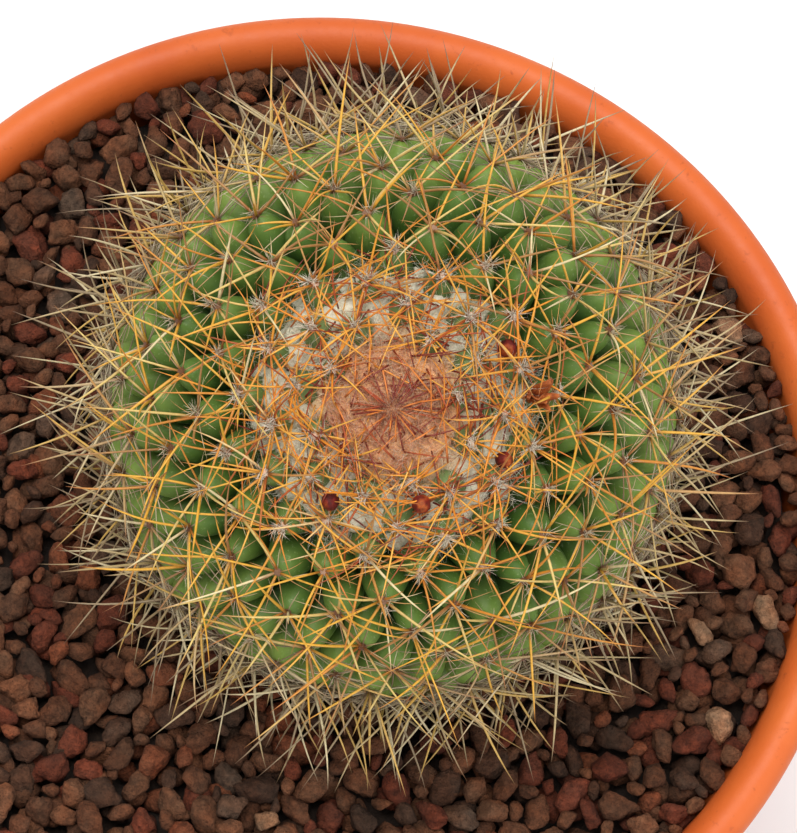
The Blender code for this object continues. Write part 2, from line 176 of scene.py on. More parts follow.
def wrapped_quads(rows, columns):
    """Quads of a grid of points that closes on itself both ways."""
    index = np.arange(rows * columns).reshape(rows, columns)
    after = np.roll(index, -1, axis=1)
    corners = [index, after, np.roll(after, -1, axis=0), np.roll(index, -1, axis=0)]
    return np.stack(corners, axis=-1).reshape(-1, 4)


def add_rings(points, faces, rings, closed_start=False):
    """Lofts equal rings of points and closes the last one, and the first one if asked."""
    start, count = len(points), len(rings[0])
    for one_ring in rings:
        points += one_ring
    for r in range(len(rings) - 1):
        low, high = start + r * count, start + (r + 1) * count
        for k in range(count):
            after = (k + 1) % count
            faces.append((low + k, low + after, high + after, high + k))
    if closed_start:
        faces.append(tuple(start + k for k in range(count - 1, -1, -1)))
    last = start + (len(rings) - 1) * count
    faces.append(tuple(last + k for k in range(count)))


def icosphere(detail):
    """Points and faces of a unit ball."""
    bm = bmesh.new()
    bmesh.ops.create_icosphere(bm, subdivisions=detail, radius=1.0)
    points = [v.co.copy() for v in bm.verts]
    faces = [tuple(v.index for v in f.verts) for f in bm.faces]
    bm.free()
    return points, faces


def blob(centre, normal, reach, height, detail, rough, seed):
    """Points and faces of a lumpy cushion sitting on a place."""
    ball, faces = icosphere(detail)
    turn = Vector((0.0, 0.0, 1.0)).rotation_difference(Vector(normal)).to_matrix()
    points = []
    for p in ball:
        lump = 1.0 + rough * noise.noise(p * 2.3 + Vector((seed * 1.7, seed * 0.9, seed * 2.3)))
        lump += rough * 0.5 * noise.noise(p * 5.1 + Vector((seed * 0.7, seed * 1.9, seed * 1.3)))
        p = Vector((p.x * reach * lump, p.y * reach * lump, p.z * height * lump))
        points.append(turn @ p + Vector(centre))
    return points, faces


def add_blobs(name, parts, material, *nodes):
    """One wool piece from a list of (points, faces, colour) in the plant's own frame."""
    points, faces, tints = [], [], []
    for part_points, part_faces, tint in parts:
        offset = len(points)
        points += part_points
        faces += [tuple(i + offset for i in f) for f in part_faces]
        tints += [tint] * len(part_points)
    world = [PLANT_FRAME @ p for p in points]
    own(add_mesh(name, world, faces, material, np.array(tints)), "wool", *nodes)


def tubes(base, direction, bend, length, radius, rings, sides):
    """Points, faces and (share along, tube number) of tapered, slightly bent spines."""
    count = len(base)
    along = np.linspace(0.0, 1.0, rings)
    helper = np.where(np.abs(direction[:, 2:3]) < 0.9, [[0.0, 0.0, 1.0]], [[1.0, 0.0, 0.0]])
    side = unit(np.cross(direction, helper))
    up = np.cross(direction, side)
    centre = (
        base[:, None, :]
        + direction[:, None, :] * (length[:, None] * along)[..., None]
        + bend[:, None, :] * (length[:, None] * along**2)[..., None]
    )
    taper = np.maximum((1.0 - 0.4 * along) * np.maximum(1.0 - along**5, 0.0) ** 0.8, 0.06)
    angles = np.linspace(0.0, 2.0 * math.pi, sides, endpoint=False)
    cosine, sine = np.cos(angles)[None, :, None], np.sin(angles)[None, :, None]
    around = side[:, None, :] * cosine + up[:, None, :] * sine
    width = radius[:, None] * taper
    points = centre[:, :, None, :] + around[:, None, :, :] * width[:, :, None, None]
    index = np.arange(count * rings * sides).reshape(count, rings, sides)
    after = np.roll(index, -1, axis=2)
    quads = np.stack([index[:, :-1], after[:, :-1], after[:, 1:], index[:, 1:]], axis=-1).reshape(-1, 4)
    caps = np.concatenate([index[:, 0, ::-1], index[:, -1, :]])
    share = np.broadcast_to(along[None, :, None], index.shape).reshape(-1)
    number = np.broadcast_to(np.arange(count)[:, None, None], index.shape).reshape(-1)
    return points.reshape(-1, 3), quads.tolist() + caps.tolist(), share, number


# ---------------------------------------------------------------- materials


class Nodes:
    """A small builder for node materials."""

    def __init__(self, name):
        self.material = bpy.data.materials.new(name)
        self.material.use_nodes = True
        self.tree = self.material.node_tree
        self.shader = self.tree.nodes["Principled BSDF"]

    def add(self, kind, inputs=(), **settings):
        node = self.tree.nodes.new(kind)
        for key, value in settings.items():
            setattr(node, key, value)
        for key, value in dict(inputs).items():
            self.put(node.inputs[key], value)
        return node

    def put(self, socket, value):
        if isinstance(value, bpy.types.NodeSocket):
            self.tree.links.new(value, socket)
        elif isinstance(value, tuple) and socket.type == "RGBA":
            socket.default_value = (*value, 1.0)
        else:
            socket.default_value = value

    def set(self, **inputs):
        """Sets or links inputs of the shader, their names written with underscores."""
        for key, value in inputs.items():
            self.put(self.shader.inputs[key.replace("_", " ")], value)

    def place(self):
        return self.add("ShaderNodeTexCoord").outputs["Object"]

    def noise(self, scale, detail=4.0, roughness=0.6):
        inputs = {"Vector": self.place(), "Scale": scale, "Detail": detail, "Roughness": roughness}
        return self.add("ShaderNodeTexNoise", inputs).outputs["Fac"]

    def ramp(self, factor, *stops):
        node = self.add("ShaderNodeValToRGB", {"Fac": factor})
        elements = node.color_ramp.elements
        while len(elements) < len(stops):
            elements.new(0.5)
        for element, (position, colour) in zip(elements, stops):
            element.position = position
            element.color = (*colour, 1.0)
        return node.outputs["Color"]

    def span(self, factor, low, high, out_low=0.0, out_high=1.0):
        inputs = {"Value": factor, "From Min": low, "From Max": high, "To Min": out_low, "To Max": out_high}
        return self.add("ShaderNodeMapRange", inputs).outputs["Result"]

    def blend(self, factor, a, b, how="MIX"):
        node = self.add("ShaderNodeMix", data_type="RGBA", blend_type=how, clamp_factor=True)
        self.put(node.inputs["Factor"], factor)
        self.put(node.inputs[6], a)
        self.put(node.inputs[7], b)
        return node.outputs[2]

    def times(self, colour, *factors):
        return self.blend(1.0, colour, factors, "MULTIPLY")

    def tint(self):
        return self.add("ShaderNodeAttribute", attribute_name="tint").outputs["Color"]

    def bump(self, height, strength, distance, normal=None):
        node = self.add("ShaderNodeBump", {"Height": height, "Strength": strength, "Distance": distance})
        if normal is not None:
            self.put(node.inputs["Normal"], normal)
        return node.outputs["Normal"]


def terracotta_material():
    """Fired clay with soft clouds, fine speckle and a satin surface."""
    n = Nodes("terracotta")
    cloud = n.noise(38.0, 5.0, 0.6)
    fine = n.noise(620.0, 3.0, 0.7)
    base = n.ramp(cloud, (0.30, srgb(192, 86, 36)), (0.52, srgb(204, 98, 42)), (0.72, srgb(213, 110, 51)))
    colour = n.blend(n.span(fine, 0.62, 0.78), base, srgb(174, 80, 36))
    n.set(Base_Color=colour, Roughness=n.span(fine, 0.3, 0.7, 0.44, 0.56), Specular_IOR_Level=0.3)
    n.set(Normal=n.bump(n.noise(90.0, 2.0), 0.15, 0.0006, n.bump(fine, 0.25, 0.0002)))
    return n.material


def skin_material():
    """Satin green skin, finely dotted, its tint varied by clouds and tiny pale flecks."""
    n = Nodes("cactus_skin")
    tint = n.tint()
    cloud = n.noise(260.0, 4.0, 0.6)
    fleck = n.noise(2600.0, 2.0, 0.5)
    dark, light = n.times(tint, 0.78, 0.84, 0.74), n.times(tint, 1.16, 1.12, 1.05)
    colour = n.blend(n.span(cloud, 0.32, 0.68), dark, light)
    colour = n.blend(n.span(fleck, 0.62, 0.74, 0.0, 0.22), colour, srgb(190, 205, 150))
    n.set(Base_Color=colour, Roughness=n.span(cloud, 0.3, 0.7, 0.42, 0.56), Specular_IOR_Level=0.35)
    n.set(Normal=n.bump(fleck, 0.18, 0.0001, n.bump(cloud, 0.2, 0.0004)))
    n.set(Subsurface_Weight=0.18, Subsurface_Radius=(0.5, 1.0, 0.25), Subsurface_Scale=0.0015)
    return n.material


def spine_material(name, roughness):
    """Each point's tint, varied along the spines by a fine grain."""
    n = Nodes(name)
    tint = n.tint()
    grain = n.noise(1800.0, 4.0, 0.65)
    darker, lighter = n.times(tint, 0.84, 0.84, 0.84), n.times(tint, 1.16, 1.16, 1.16)
    n.set(Base_Color=n.blend(n.span(grain, 0.3, 0.7), darker, lighter), Specular_IOR_Level=0.45)
    n.set(Roughness=n.span(grain, 0.3, 0.7, roughness - 0.06, roughness + 0.06))
    n.set(Normal=n.bump(grain, 0.2, 0.00005))
    return n.material


def wool_material(name, shade=0.90):
    """Matted hair: fine fuzz in tone and bump, bright, no gloss."""
    n = Nodes(name)
    tint = n.tint()
    fuzz = n.noise(2600.0, 6.0, 0.8)
    clump = n.noise(700.0, 4.0, 0.6)
    matted = n.blend(n.span(fuzz, 0.34, 0.56), n.times(tint, shade, shade * 0.98, shade * 0.92), tint)
    n.set(Base_Color=n.blend(n.span(clump, 0.30, 0.60), n.times(matted, 0.93, 0.93, 0.88), matted))
    n.set(Roughness=n.span(fuzz, 0.3, 0.7, 0.9, 1.0), Sheen_Weight=0.15, Specular_IOR_Level=0.1)
    n.set(Normal=n.bump(fuzz, 0.7, 0.0004, n.bump(clump, 0.3, 0.0004)))
    return n.material


def bud_material():
    """Dark red and ribbed, with lighter orange patches."""
    n = Nodes("bud_skin")
    ribs = n.noise(1500.0, 5.0, 0.7)
    patch = n.noise(520.0, 2.0, 0.5)
    base = n.ramp(patch, (0.35, srgb(74, 10, 8)), (0.52, srgb(126, 30, 14)), (0.66, srgb(184, 92, 34)))
    n.set(Base_Color=n.blend(n.span(ribs, 0.36, 0.60), n.times(base, 0.45, 0.40, 0.40), base))
    n.set(Roughness=n.span(ribs, 0.3, 0.7, 0.5, 0.7), Specular_IOR_Level=0.3)
    n.set(Normal=n.bump(ribs, 0.6, 0.0003))
    return n.material


def petal_material():
    n = Nodes("dried_petal")
    veins = n.noise(1400.0, 5.0, 0.7)
    colour = n.ramp(veins, (0.3, srgb(112, 50, 16)), (0.55, srgb(176, 92, 36)), (0.75, srgb(208, 140, 72)))
    n.set(Base_Color=colour, Roughness=n.span(veins, 0.3, 0.7, 0.6, 0.8), Normal=n.bump(veins, 0.6, 0.0003))
    return n.material


def lava_material():
    """Porous lava: blotches of rust and brown inside each stone, pinhole pores painted near black as painted
    shade in the holes, and a rough skin.
    """
    n = Nodes("lava_gravel")
    tint = n.tint()
    blotch = n.noise(260.0, 3.0, 0.6)
    mottle = n.noise(900.0, 6.0, 0.75)
    coarse = n.noise(520.0, 5.0, 0.7)
    cells = n.add("ShaderNodeTexVoronoi", {"Vector": n.place(), "Scale": 2300.0, "Randomness": 1.0})
    pores = cells.outputs["Distance"]
    warm, cool = n.times(tint, 1.20, 0.98, 0.86), n.times(tint, 0.86, 0.90, 0.93)
    base = n.blend(n.span(blotch, 0.36, 0.64), cool, warm)
    dark, light = n.times(base, 0.48, 0.47, 0.45), n.times(base, 1.42, 1.40, 1.36)
    colour = n.blend(n.span(mottle, 0.34, 0.66), dark, light)
    # Painted shade: the pinhole pores are darkened to near black.
    colour = n.blend(n.span(pores, 0.06, 0.24, 0.55, 0.0), colour, (0.012, 0.008, 0.006))
    n.set(Base_Color=colour, Roughness=n.span(mottle, 0.3, 0.7, 0.85, 1.0), Specular_IOR_Level=0.2)
    rough = n.bump(mottle, 0.8, 0.0007, n.bump(coarse, 0.7, 0.0014))
    n.set(Normal=n.bump(pores, 0.5, 0.0003, rough))
    return n.material


def soil_material():
    n = Nodes("potting_soil")
    lumps = n.noise(420.0, 6.0, 0.75)
    dark, brown, light = (0.008, 0.005, 0.004), (0.035, 0.02, 0.013), (0.09, 0.055, 0.035)
    n.set(Base_Color=n.ramp(lumps, (0.3, dark), (0.6, brown), (0.75, light)))
    n.set(Roughness=n.span(lumps, 0.3, 0.7, 0.85, 1.0), Normal=n.bump(lumps, 0.8, 0.001))
    return n.material


def floor_material():
    n = Nodes("studio_floor")
    grain = n.noise(60.0, 3.0)
    n.set(Base_Color=n.ramp(grain, (0.3, (0.84, 0.84, 0.835)), (0.7, (0.87, 0.87, 0.865))))
    n.set(Roughness=n.span(grain, 0.3, 0.7, 0.6, 0.7))
    return n.material


# ---------------------------------------------------------------- pot


def arc(centre_r, centre_z, radius, start, end, count):
    angles = np.radians(np.linspace(start, end, count))
    return [(centre_r + radius * math.cos(a), centre_z + radius * math.sin(a)) for a in angles]


def line(start, end, count):
    shares = np.linspace(0, 1, count)
    return [(start[0] + (end[0] - start[0]) * s, start[1] + (end[1] - start[1]) * s) for s in shares]


def pot_inner_radius(z):
    share = (z - FLOOR_THICKNESS) / (POT_HEIGHT - FLOOR_THICKNESS)
    floor_radius = BASE_RADIUS - WALL
    return floor_radius + share * (RIM_RADIUS - LIP_WIDTH - floor_radius)


def lathe(profile, count):
    """Points and faces of a closed profile turned about Z."""
    turns = np.linspace(0.0, 2.0 * math.pi, count, endpoint=False)
    radius, height = np.array(profile).T[:, :, None]
    rings = np.stack([radius * np.cos(turns), radius * np.sin(turns), height + np.zeros(count)], axis=-1)
    return rings.reshape(-1, 3), wrapped_quads(len(profile), count)


def build_pot():
    """The pot with its wall tapered, a plain rim band, a lip rounded further inwards and a drain hole."""
    lip = LIP_WIDTH / 2.0
    band_bottom = POT_HEIGHT - BAND_HEIGHT
    wall_top = pot_inner_radius(band_bottom) + WALL
    band_edge = RIM_RADIUS - BAND_TAPER
    foot, fillet, band_round = 0.0015, 0.0010, 0.0009
    reach = RIM_RADIUS - lip - pot_inner_radius(POT_HEIGHT - LIP_REACH_DOWN)
    profile = [(DRAIN_RADIUS + 0.0008, 0.0)]
    profile += line((DRAIN_RADIUS + 0.004, 0.0), (BASE_RADIUS - foot - 0.002, 0.0), 5)
    profile += arc(BASE_RADIUS - foot, foot, foot, -90.0, -12.0, 8)
    profile += line((BASE_RADIUS + 0.0006, 0.004), (wall_top - 0.0004, band_bottom - 0.003), 14)
    profile += arc(wall_top + fillet, band_bottom - fillet, fillet, 180.0, 90.0, 6)
    profile += arc(band_edge - band_round, band_bottom + band_round, band_round, -90.0, 0.0, 6)
    band_top = (RIM_RADIUS - 0.0002, POT_HEIGHT - lip - 0.002)
    profile += line((band_edge + 0.0003, band_bottom + 0.003), band_top, 7)
    profile += arc(RIM_RADIUS - lip, POT_HEIGHT - lip, lip, 0.0, 90.0, 12)
    for turn in np.radians(np.linspace(8.0, 90.0, 14)):
        across, down = reach * math.sin(turn), LIP_REACH_DOWN * (1.0 - math.cos(turn))
        profile.append((RIM_RADIUS - lip - across, POT_HEIGHT - down))
    high, low = POT_HEIGHT - 0.0075, FLOOR_THICKNESS + 0.003
    profile += line((pot_inner_radius(high), high), (pot_inner_radius(low), low), 9)
    profile += [
        (pot_inner_radius(FLOOR_THICKNESS) - 0.0009, FLOOR_THICKNESS + 0.0009),
        (pot_inner_radius(FLOOR_THICKNESS) - 0.003, FLOOR_THICKNESS),
        (DRAIN_RADIUS + 0.0005, FLOOR_THICKNESS),
        (DRAIN_RADIUS, FLOOR_THICKNESS - 0.0005),
        (DRAIN_RADIUS, 0.0008),
    ]
    own(add_mesh("terracotta_pot", *lathe(profile, 216), terracotta_material(), sharp=50.0), "terracotta", "pot")


# ---------------------------------------------------------------- cactus body


def core_point(theta, azimuth):
    across = CORE_RADIUS * math.sin(theta)
    return Vector((across * math.cos(azimuth), across * math.sin(azimuth), CORE_HALF_HEIGHT * math.cos(theta)))


def core_normal(point):
    across, along = CORE_RADIUS**2, CORE_HALF_HEIGHT**2
    return Vector((point.x / across, point.y / across, point.z / along)).normalized()


def polar_angle(point):
    return math.atan2(math.hypot(point.x, point.y) / CORE_RADIUS, point.z / CORE_HALF_HEIGHT)


def spiral_angles():
    """Polar angle and azimuth of each cell of the golden-angle spiral, close-set at the crown."""
    theta = np.linspace(0.0, math.radians(SPIRAL_END_DEGREES), 4000)
    grown = np.clip(theta / math.radians(60.0), 0.0, 1.0)
    spacing = SPACING_CROWN + (SPACING_SIDE - SPACING_CROWN) * grown**0.8
    slope = np.hypot(CORE_RADIUS * np.cos(theta), CORE_HALF_HEIGHT * np.sin(theta))
    per_angle = 2.0 * math.pi * CORE_RADIUS * np.sin(theta) * slope / (0.866 * spacing**2)
    steps = np.cumsum((per_angle[1:] + per_angle[:-1]) / 2.0 * np.diff(theta))
    count = np.concatenate(([0.0], steps))
    return [(float(np.interp(i + 0.5, count, theta)), GOLDEN_ANGLE * i) for i in range(int(count[-1]))]


def grown_height(theta):
    """Height of a fresh tubercle, low at the crown and full from the shoulder on."""
    grown = min(theta / math.radians(38.0), 1.0)
    return CROWN_TUBERCLE_HEIGHT + (TUBERCLE_HEIGHT - CROWN_TUBERCLE_HEIGHT) * grown


def cell_height(index, theta):
    if index < FLAT_CROWN_CELLS:
        return 0.0
    dried = float(past_angle(TUBERCLE_END_DEGREES - 4.0, TUBERCLE_END_DEGREES + 7.0, theta))
    return grown_height(theta) * (1.0 - dried) + DRIED_TUBERCLE_HEIGHT * dried


def groove_depth(theta):
    """Shallow grooves among the young tubercles, deep on the sides, slight at the corky base."""
    grown = float(past_angle(10.0, 42.0, theta))
    corky = float(past_angle(116.0, 128.0, theta))
    return (CROWN_GROOVE_DEPTH + (GROOVE_DEPTH - CROWN_GROOVE_DEPTH) * grown) * (1.0 - 0.8 * corky)


def hull_faces(points):
    bm = bmesh.new()
    for index, point in enumerate(points):
        bm.verts.new(point).index = index
    bm.verts.ensure_lookup_table()
    bmesh.ops.convex_hull(bm, input=bm.verts[:])
    bmesh.ops.triangulate(bm, faces=bm.faces[:])
    bm.verts.index_update()
    triangles = [tuple(v.index for v in face.verts) for face in bm.faces]
    bm.free()
    return triangles


def body_cells():
    """The body's cells in the plant's own frame, their outlines as corner numbers, and the corners."""
    turns = [2.0 * math.pi * k / BASE_RING_COUNT for k in range(BASE_RING_COUNT)]
    base_ring = [(math.radians(BASE_RING_DEGREES), turn) for turn in turns]
    angles = spiral_angles() + base_ring + [(math.pi, 0.0)]
    middles = [core_point(theta, azimuth) for theta, azimuth in angles]
    corners = []
    around = [[] for _ in middles]
    for number, triangle in enumerate(hull_faces(middles)):
        centre = sum((middles[i] for i in triangle), Vector()) / 3.0
        corners.append(core_point(polar_angle(centre), math.atan2(centre.y, centre.x)))
        for i in triangle:
            around[i].append(number)
    cells = []
    for i, (theta, _) in enumerate(angles):
        middle, normal = middles[i], core_normal(middles[i])
        side = normal.orthogonal().normalized()
        up = normal.cross(side)
        spokes = {c: corners[c] - middle for c in around[i]}
        outline = sorted(spokes, key=lambda c: math.atan2(spokes[c].dot(up), spokes[c].dot(side)))
        height = cell_height(i, theta) if i < len(angles) - 1 else 0.0
        cells.append({"theta": theta, "middle": middle, "normal": normal, "height": height, "outline": outline})
    return cells, corners


TUBERCLE_RINGS = (  # (width as a share of the cell's, rise as a share of the tubercle's)
    (0.965, 0.10),
    (0.905, 0.26),
    (0.835, 0.44),
    (0.745, 0.61),
    (0.625, 0.77),
    (0.475, 0.89),
    (0.30, 0.965),
    (0.12, 1.0),
)


def skin_colour(theta, rise, chance):
    """Green of a tubercle: painted shade deep in the grooves, lightening towards its tip, lime round the
    shoulder.
    """
    # Painted shade: the groove colour darkens the foot of each tubercle, and the green lightens towards its tip.
    deep = np.array(srgb(24, 38, 16))
    mid = mix(srgb(60, 90, 36), srgb(76, 102, 42), chance)
    tip = mix(srgb(90, 122, 50), srgb(108, 134, 58), chance)
    colour = mix(deep, mid, smoothstep(0.0, 0.55, rise))
    colour = mix(colour, tip, smoothstep(0.4, 1.0, rise))
    shoulder = past_angle(50.0, 78.0, theta)
    colour = mix(colour, srgb(142, 168, 76), 0.65 * shoulder * smoothstep(0.3, 1.0, rise))
    bloom = 1.0 - past_angle(20.0, 40.0, theta)
    colour = mix(colour, srgb(140, 154, 118), 0.4 * bloom)
    # Painted shade on the cork too: darker down in the grooves and lighter up the tubercle, with a random tone
    # for each cell.
    cork_shade_and_tone = smoothstep(0.1, 0.9, rise) * (0.6 + 0.4 * chance)
    cork = mix(srgb(64, 48, 32), srgb(134, 108, 74), cork_shade_and_tone)
    return mix(colour, cork, 0.9 * past_angle(104.0, 126.0, theta))


def cell_edge(cell, corners):
    """The cell's outline, each side cut into equal steps in the same way from both of its cells."""
    outline, edge = cell["outline"], []
    for k, corner in enumerate(outline):
        following = outline[(k + 1) % len(outline)]
        low, high = sorted((corner, following))
        for s in range(EDGE_STEPS):
            share = s / EDGE_STEPS if corner == low else 1.0 - s / EDGE_STEPS
            edge.append(corners[low].lerp(corners[high], share))
    return edge


def sunk(edge):
    return [e - core_normal(e) * groove_depth(polar_angle(e)) for e in edge]


def tubercle_rings(cell, edge):
    """Rings of a rounded cone rising from deep grooves, or of a slight swelling on a flat cell."""
    middle, normal, size = cell["middle"], cell["normal"], cell["height"]
    depth = groove_depth(cell["theta"])
    mean = sum((e - middle).length for e in edge) / len(edge)
    rings = [sunk(edge)]
    for shrink, rise in TUBERCLE_RINGS:
        lifted = []
        for e in edge:
            spoke = e - middle
            spoke -= normal * spoke.dot(normal)
            level = CORK_SWELL * math.sin(rise * math.pi / 2.0)
            if size > 0.0:
                spoke = spoke.lerp(spoke.normalized() * mean, min(1.0, rise * 1.6))
                level = size * rise - depth * (1.0 - rise)
            sag = (e - middle).dot(normal) * shrink**2
            lifted.append(middle + spoke * shrink + normal * (level + sag * (1.0 - rise * 0.5)))
        rings.append(lifted)
    return rings


def root_rings(edge):
    """Rings of the knobbly corky neck from the lowest cell down into the soil, and their colours."""
    back = PLANT_FRAME.inverted()
    rings = [sunk(edge)]
    colours = [np.array(srgb(84, 64, 42))]
    places = [PLANT_FRAME @ e for e in edge]
    turns = [math.atan2(p.y - BODY_BASE.y, p.x - BODY_BASE.x) for p in places]
    for number, drop in enumerate((0.0030, 0.0045, 0.0062, 0.0080, 0.010, 0.014, 0.020, 0.0275)):
        slim = 1.0 - 0.5 * smoothstep(0.0045, 0.0275, drop)
        ring = []
        for t in turns:
            lump = 1.0 + 0.05 * noise.noise(Vector((math.cos(t) * 3.0, math.sin(t) * 3.0, drop * 420.0)))
            radius = ROOT_RADIUS * float(slim) * lump
            ring.append(Vector((radius * math.cos(t), radius * math.sin(t), -drop)))
        rings.append([back @ (BODY_BASE + p) for p in ring])
        colours.append(np.array(srgb(112, 88, 58) if number % 2 else srgb(74, 56, 38)))
    return rings, colours


def build_body(cells, corners):
    """Every tubercle, the corky base and the root neck, as one closed skin."""
    points, faces, tints = [], [], []
    rng = np.random.default_rng(11)
    rises = [0.0] + [rise for _, rise in TUBERCLE_RINGS]
    for cell in cells:
        edge = cell_edge(cell, corners)
        if cell is cells[-1]:
            rings, colours = root_rings(edge)
        else:
            chance = rng.uniform()
            rings = tubercle_rings(cell, edge)
            shown = rises if cell["height"] > 0.0 else [0.2] * len(rises)
            colours = [skin_colour(cell["theta"], rise, chance) for rise in shown]
        add_rings(points, faces, rings)
        tints += [colour for colour in colours for _ in edge]
    world = [PLANT_FRAME @ p for p in points]
    body = add_mesh("cactus_body_skin", world, faces, skin_material(), np.array(tints))
    bm = bmesh.new()
    bm.from_mesh(body.data)
    bmesh.ops.remove_doubles(bm, verts=bm.verts, dist=2e-6)
    bmesh.ops.recalc_face_normals(bm, faces=bm.faces)
    bm.to_mesh(body.data)
    bm.free()
    own(body, "cactus_skin", "cactus_body")
    return body


# ---------------------------------------------------------------- spines


def areole_frames(cells):
    """For each tubercle: tip, outward normal, direction towards the apex and sideways, polar angle."""
    kept = [c for c in cells if c["height"] > 0.0]
    tips = np.array([c["middle"] + c["normal"] * (c["height"] + 0.0001) for c in kept])
    normals = np.array([c["normal"] for c in kept])
    theta = np.array([c["theta"] for c in kept])
    apex = np.array([0.0, 0.0, 1.0])
    upward = unit(apex - normals * (normals @ apex)[:, None])
    return tips, normals, upward, np.cross(normals, upward), theta


def spine_set(places, per_areole, away, length, radius, rng, bend, jitter, shortest):
    """Base, direction, bend, length, radius, polar angle and chance of spines spread round each areole."""
    tips, normals, upward, sideways, theta = places
    found = [[] for _ in range(7)]
    for i, count in enumerate(per_areole):
        first = rng.uniform(0.0, 2.0 * math.pi)
        turns = first + 2.0 * math.pi * (np.arange(count) + rng.uniform(-jitter, jitter, count)) / count
        tilt = np.radians(rng.uniform(away[i][0], away[i][1], count))
        flat = np.cos(turns)[:, None] * upward[i] + np.sin(turns)[:, None] * sideways[i]
        direction = unit(normals[i] * np.cos(tilt)[:, None] + flat * np.sin(tilt)[:, None])
        curl = rng.normal(size=(count, 3))
        curl = unit(curl - direction * np.sum(curl * direction, axis=1, keepdims=True))
        curve = curl * bend * rng.uniform(0.0, 1.0, (count, 1)) ** 1.5
        curve -= normals[i] * bend * rng.uniform(0.0, 0.7, (count, 1))
        short = np.where(rng.uniform(size=count) < 0.08, rng.uniform(0.35, 0.7, count), 1.0)
        values = (
            tips[i] + flat * 0.00035 * rng.uniform(0.4, 1.2, (count, 1)),
            direction,
            curve,
            length[i] * rng.uniform(shortest, 1.12, count) * short,
            radius[i] * rng.uniform(0.7, 1.12, count),
            np.full(count, theta[i]),
            rng.uniform(0.0, 1.0, count),
        )
        for one, value in zip(found, values):
            one.append(value)
    return [np.concatenate(v) for v in found]


def central_colour(theta, share, chance):
    """Red-brown at the crown, orange then gold on the shoulder, straw and grey on the flanks; darker ends."""
    degrees = np.degrees(theta) + 9.0 * (chance * 7.0 % 1.0 - 0.5)
    red = pick(chance, (0.42, srgb(116, 32, 10)), (0.30, srgb(160, 68, 24)), (0.28, srgb(208, 120, 46)))
    amber = pick(
        chance,
        (0.32, srgb(216, 134, 40)),
        (0.30, srgb(228, 170, 72)),
        (0.18, srgb(160, 74, 24)),
        (0.20, srgb(222, 152, 50)),
    )
    gold = pick(
        chance,
        (0.38, srgb(216, 162, 56)),
        (0.20, srgb(196, 128, 44)),
        (0.20, srgb(208, 180, 106)),
        (0.16, srgb(158, 114, 64)),
        (0.06, srgb(214, 198, 150)),
    )
    straw = pick(
        chance,
        (0.2, srgb(194, 158, 86)),
        (0.35, srgb(178, 156, 112)),
        (0.3, srgb(142, 122, 92)),
        (0.15, srgb(202, 186, 146)),
    )
    body = mix(red, amber, smoothstep(10.0, 15.0, degrees))
    body = mix(body, gold, smoothstep(24.0, 34.0, degrees))
    body = mix(body, straw, smoothstep(56.0, 76.0, degrees))
    old = pick(chance, (0.5, srgb(138, 118, 90)), (0.5, srgb(108, 90, 68)))
    body = mix(body, old, 0.8 * smoothstep(104.0, 124.0, degrees))
    ends = mix(srgb(90, 24, 10), srgb(156, 82, 38), smoothstep(12.0, 34.0, degrees))
    ends = mix(ends, srgb(92, 62, 44), smoothstep(56.0, 80.0, degrees))
    body = mix(body, ends, 0.7 * (1.0 - smoothstep(0.0, 0.2, share)))
    return mix(body, ends, 0.8 * smoothstep(0.72, 0.96, share))


def radial_colour(theta, share, chance):
    """Pale straw near the crown, straw to grey-brown on the flanks."""
    young = pick(chance, (0.5, srgb(206, 150, 84)), (0.3, srgb(222, 200, 154)), (0.2, srgb(176, 104, 52)))
    old = pick(
        chance,
        (0.3, srgb(184, 164, 126)),
        (0.35, srgb(150, 132, 108)),
        (0.2, srgb(122, 102, 82)),
        (0.15, srgb(204, 190, 160)),
    )
    body = mix(young, old, smoothstep(34.0, 62.0, np.degrees(theta)))
    return mix(body, srgb(120, 70, 42), 0.6 * (1.0 - smoothstep(0.0, 0.22, share)))


def clear_of_gravel(base, direction, bend, length):
    """Lifts spines that would dip into the gravel until they lie on it, and marks those rooted above it."""
    level = GRAVEL_TOP + SPINE_REST_HEIGHT
    base_world = to_world(base)
    heading = direction @ PLANT_TURN.T
    curve = bend @ PLANT_TURN.T
    lowest = (level - base_world[:, 2]) / length - curve[:, 2]
    dips = heading[:, 2] < lowest
    steep = np.clip(lowest, -0.98, 0.98)
    flat = heading[:, :2] / np.maximum(np.linalg.norm(heading[:, :2], axis=1, keepdims=True), 1e-9)
    lifted = np.column_stack([flat * np.sqrt(1.0 - steep**2)[:, None], steep])
    heading = np.where(dips[:, None], lifted, heading)
    return heading @ PLANT_TURN, base_world[:, 2] > level - 0.0015


def add_spines(name, spines, colour, material, rings, sides, nodes=()):
    base, direction, bend, length, radius, theta, chance = spines
    direction, kept = clear_of_gravel(base, direction, bend, length)
    shapes = [v[kept] for v in (base, direction, bend, length, radius)]
    points, faces, share, number = tubes(*shapes, rings, sides)
    tint = colour(theta[kept][number], share, chance[kept][number])
    own(add_mesh(name, to_world(points), faces, material, tint), "spines", *nodes)


def add_bands(name, bands, spines, colour, roughness, rings, sides, nodes=()):
    """One piece for each band of the plant, (name, from degrees, to degrees), with its share of the nodes."""
    material = spine_material(name, roughness)
    degrees = np.degrees(spines[5])
    each = len(nodes) // len(bands)
    for k, (band, low, high) in enumerate(bands):
        chosen = [v[(degrees >= low) & (degrees < high)] for v in spines]
        stands_for = nodes[k * each : (k + 1) * each]
        add_spines(f"{name}_{band}", chosen, colour, material, rings, sides, stands_for)


